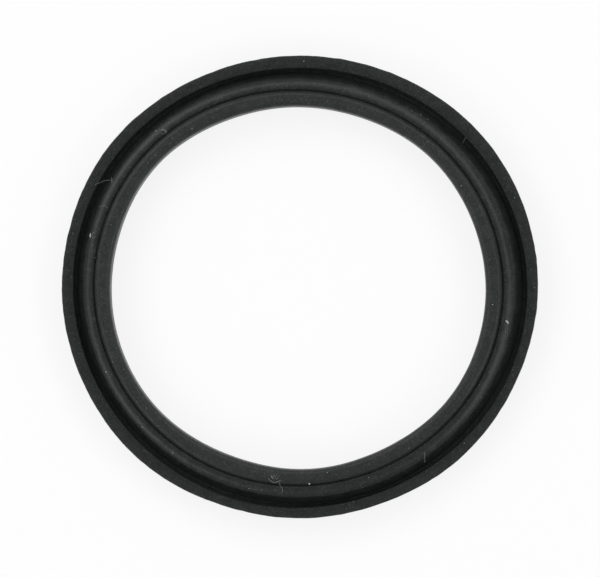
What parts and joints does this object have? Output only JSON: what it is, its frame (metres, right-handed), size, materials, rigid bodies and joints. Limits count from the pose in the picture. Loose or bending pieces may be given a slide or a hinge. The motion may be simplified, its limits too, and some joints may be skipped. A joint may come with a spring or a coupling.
{
  "type": "valve seal",
  "caption": "Round black rubber lip seal for a valve: a flat outer lip, a deep narrow groove, a rounded sealing bead and a flat inner land round an open bore.",
  "frame": {"origin": "centre of the flat heel face that the seal lies on", "axes": "+Z along the seal's axis, up from the heel face towards the side with the groove and the bead; X and Y across the ring"},
  "size_m": [0.07, 0.07, 0.0065],
  "materials": {
    "rubber": "matt black moulded rubber"
  },
  "bodies": {
    "root": {"seal_ring": "rubber"}
  },
  "joints": []
}
